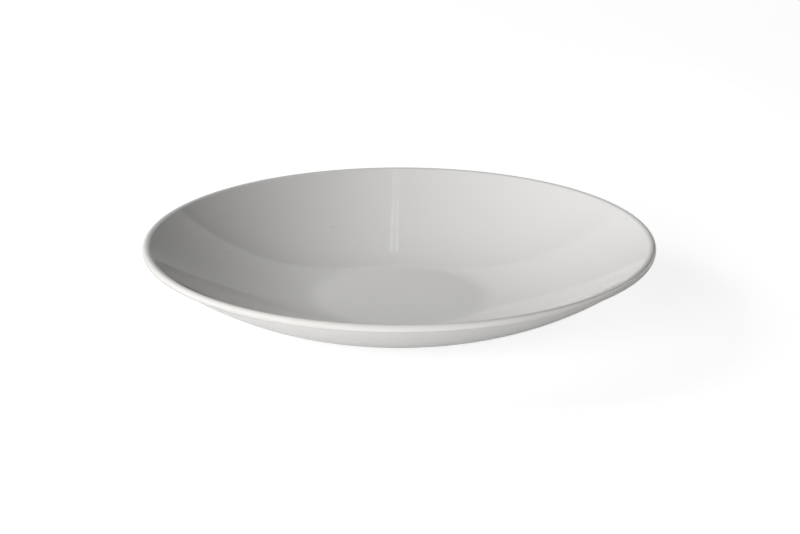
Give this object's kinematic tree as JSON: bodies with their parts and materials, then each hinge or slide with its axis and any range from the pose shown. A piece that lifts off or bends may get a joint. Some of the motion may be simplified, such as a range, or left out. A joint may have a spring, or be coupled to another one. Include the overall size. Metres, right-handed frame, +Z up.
{
  "type": "pasta plate",
  "caption": "Deep round coupe plate with a flat floor, a softly curved wall, a rolled rim bead and a low foot ring, for serving pasta and other sauced food.",
  "frame": {"origin": "centre of the plane that the foot ring rests on", "axes": "+Z up along the plate's axis of turning, towards the open side"},
  "size_m": [0.28, 0.28, 0.04],
  "materials": {
    "glaze": "clear gloss glaze over white porcelain, bare on the resting face of the foot ring"
  },
  "bodies": {
    "root": {"plate": "glaze"}
  },
  "joints": []
}
